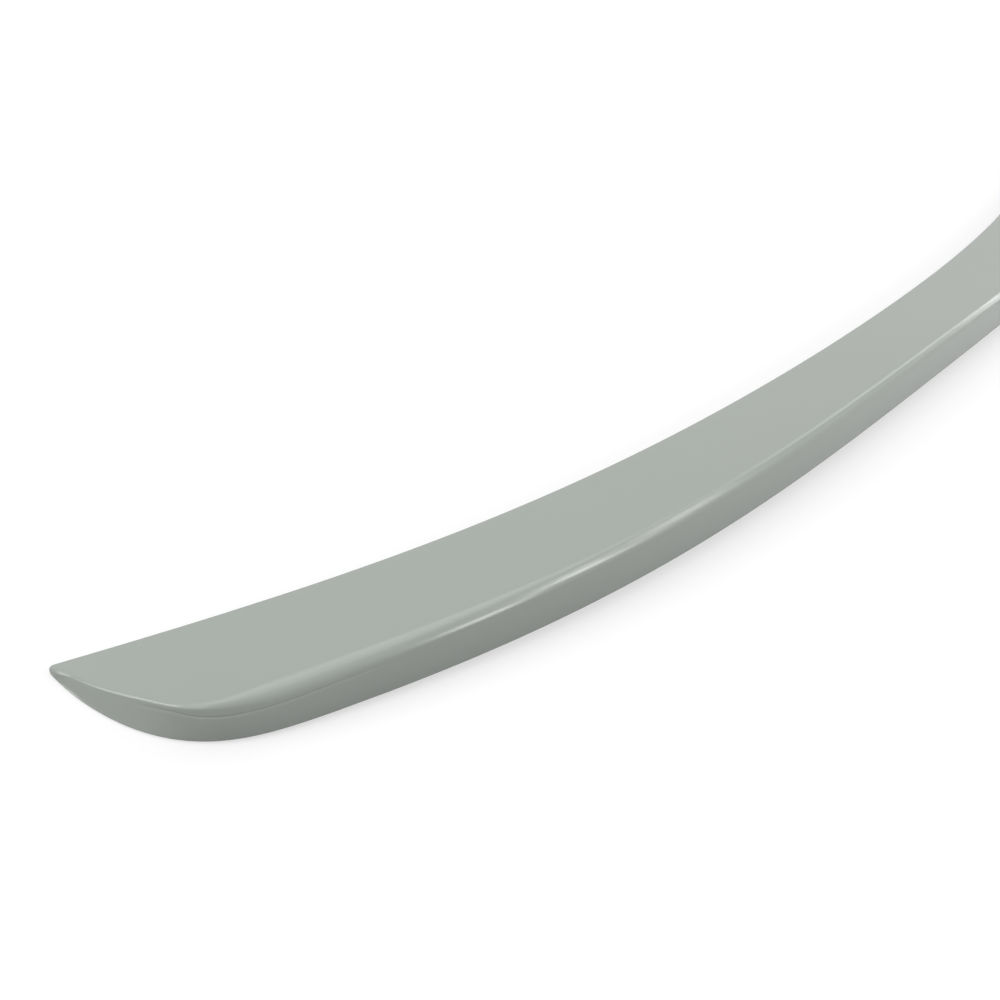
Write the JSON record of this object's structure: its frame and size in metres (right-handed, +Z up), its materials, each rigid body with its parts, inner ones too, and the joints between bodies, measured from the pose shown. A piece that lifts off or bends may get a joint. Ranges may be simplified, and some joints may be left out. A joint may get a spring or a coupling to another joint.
{
  "type": "car rear spoiler",
  "caption": "Low lip spoiler for the rear edge of a car's boot lid: a swept, crowned wedge with a rolled ridge, a creased rear wall, rounded corners and thin tips.",
  "frame": {"origin": "middle of the span, on the lid's surface at the front edge of the bonding land, below the leading edge", "axes": "+X across the car to its right, +Y towards the car's front, +Z up; the rear wall faces -Y and the tips point forwards and down"},
  "size_m": [1.2, 0.1778, 0.0405],
  "materials": {
    "primed_plastic": "semi-gloss grey primer over moulded plastic"
  },
  "bodies": {
    "root": {"spoiler": "primed_plastic"}
  },
  "joints": []
}
